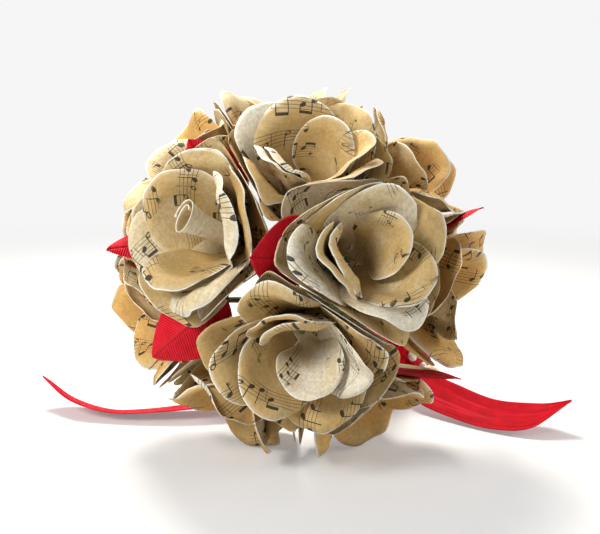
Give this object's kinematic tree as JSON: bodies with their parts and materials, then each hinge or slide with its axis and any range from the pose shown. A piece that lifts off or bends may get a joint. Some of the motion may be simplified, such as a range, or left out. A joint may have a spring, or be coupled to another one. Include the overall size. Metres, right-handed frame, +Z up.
{
  "type": "paper flower bouquet",
  "caption": "Hand-tied ball of curled paper roses and folded red leaves on wrapped wire stems, tied with a long satin ribbon, lying on its side.",
  "frame": {"origin": "on the table, under the middle of the bouquet's bounding box", "axes": "+Z up from the table; the flower ball's face looks towards -Y and a little up; the handle runs back to +Y, to the right and down"},
  "size_m": [0.2866, 0.2011, 0.1786],
  "materials": {
    "outer_paper": "matte",
    "inner_paper": "matte",
    "leaf": "matte",
    "stem": "matte",
    "ribbon": "satin",
    "pearl": "gloss"
  },
  "bodies": {
    "root": {"rose_left_outer": "outer_paper", "rose_left_middle": "inner_paper", "rose_left_inner": "inner_paper", "rose_top_outer": "outer_paper", "rose_top_middle": "inner_paper", "rose_top_inner": "inner_paper", "rose_top_heart": "inner_paper", "rose_right_outer": "outer_paper", "rose_right_middle": "inner_paper", "rose_right_inner": "inner_paper", "rose_right_heart": "inner_paper", "rose_low_outer": "outer_paper", "rose_low_middle": "inner_paper", "rose_low_inner": "inner_paper", "rose_low_heart": "inner_paper", "rose_upper_left_outer": "outer_paper", "rose_upper_left_inner": "inner_paper", "rose_upper_left_heart": "inner_paper", "rose_crown_outer": "outer_paper", "rose_crown_inner": "inner_paper", "rose_crown_heart": "inner_paper", "rose_upper_right_outer": "outer_paper", "rose_upper_right_inner": "inner_paper", "rose_upper_right_heart": "inner_paper", "rose_far_right_outer": "outer_paper", "rose_far_right_inner": "inner_paper", "rose_far_right_heart": "inner_paper", "rose_lower_left_outer": "outer_paper", "rose_lower_left_inner": "inner_paper", "rose_lower_left_heart": "inner_paper", "rose_base_left_outer": "outer_paper", "rose_base_left_bud": "inner_paper", "rose_base_right_outer": "outer_paper", "rose_base_right_bud": "inner_paper", "rose_far_left_outer": "outer_paper", "rose_far_left_bud": "inner_paper", "rose_top_stem": "stem", "rose_right_stem": "stem", "rose_low_stem": "stem", "rose_left_stem": "stem", "rose_upper_left_stem": "stem", "rose_crown_stem": "stem", "rose_upper_right_stem": "stem", "rose_far_right_stem": "stem", "rose_base_right_stem": "stem", "rose_base_left_stem": "stem", "rose_lower_left_stem": "stem", "rose_far_left_stem": "stem", "leaf_centre": "leaf", "leaf_lower_left": "leaf", "leaf_top_left": "leaf", "leaf_far_left": "leaf", "leaf_right": "leaf", "leaf_low_right": "leaf", "rose_left_heart": "inner_paper", "handle_wrap": "ribbon", "ribbon_tie": "ribbon", "pearl_pin_1": "pearl", "pearl_pin_2": "pearl", "pearl_pin_3": "pearl"}
  },
  "joints": []
}
